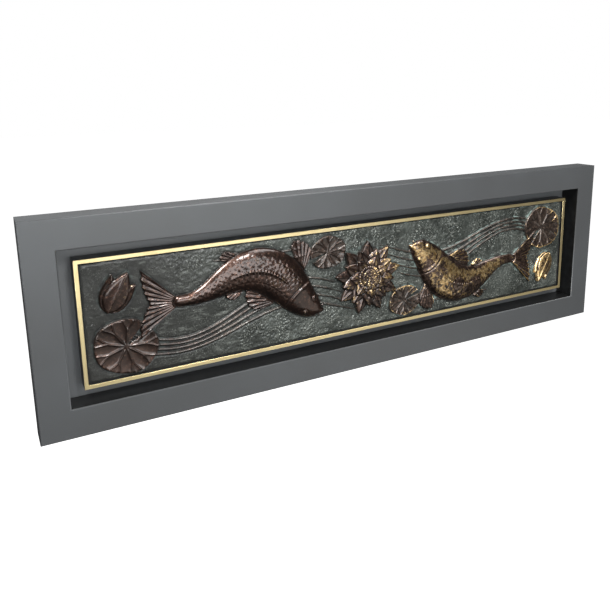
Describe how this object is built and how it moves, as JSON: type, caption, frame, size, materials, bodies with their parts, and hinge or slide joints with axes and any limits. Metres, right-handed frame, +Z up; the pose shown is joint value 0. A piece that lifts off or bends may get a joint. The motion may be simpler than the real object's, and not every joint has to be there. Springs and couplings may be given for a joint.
{
  "type": "relief plaque",
  "caption": "Long bronze relief panel with a brass fillet on a raised black block, set in the deep well of a wide charcoal lacquered frame.",
  "frame": {"origin": "middle of the flat back, where the plaque lies against the wall", "axes": "+X along the plaque's length, +Z up, and the front faces -Y"},
  "size_m": [1.22, 0.049, 0.358],
  "materials": {
    "lacquer": "smooth satin charcoal lacquer",
    "black": "semi-gloss black lacquer",
    "bronze": "dark brown patinated cast bronze, rubbed on its high places",
    "brass": "polished"
  },
  "bodies": {
    "root": {"frame_top": "lacquer", "frame_right": "lacquer", "frame_bottom": "lacquer", "frame_left": "lacquer", "back_board": "lacquer", "mounting_block": "black", "relief_panel": "bronze", "fillet_top": "brass", "fillet_right": "brass", "fillet_bottom": "brass", "fillet_left": "brass"}
  },
  "joints": []
}
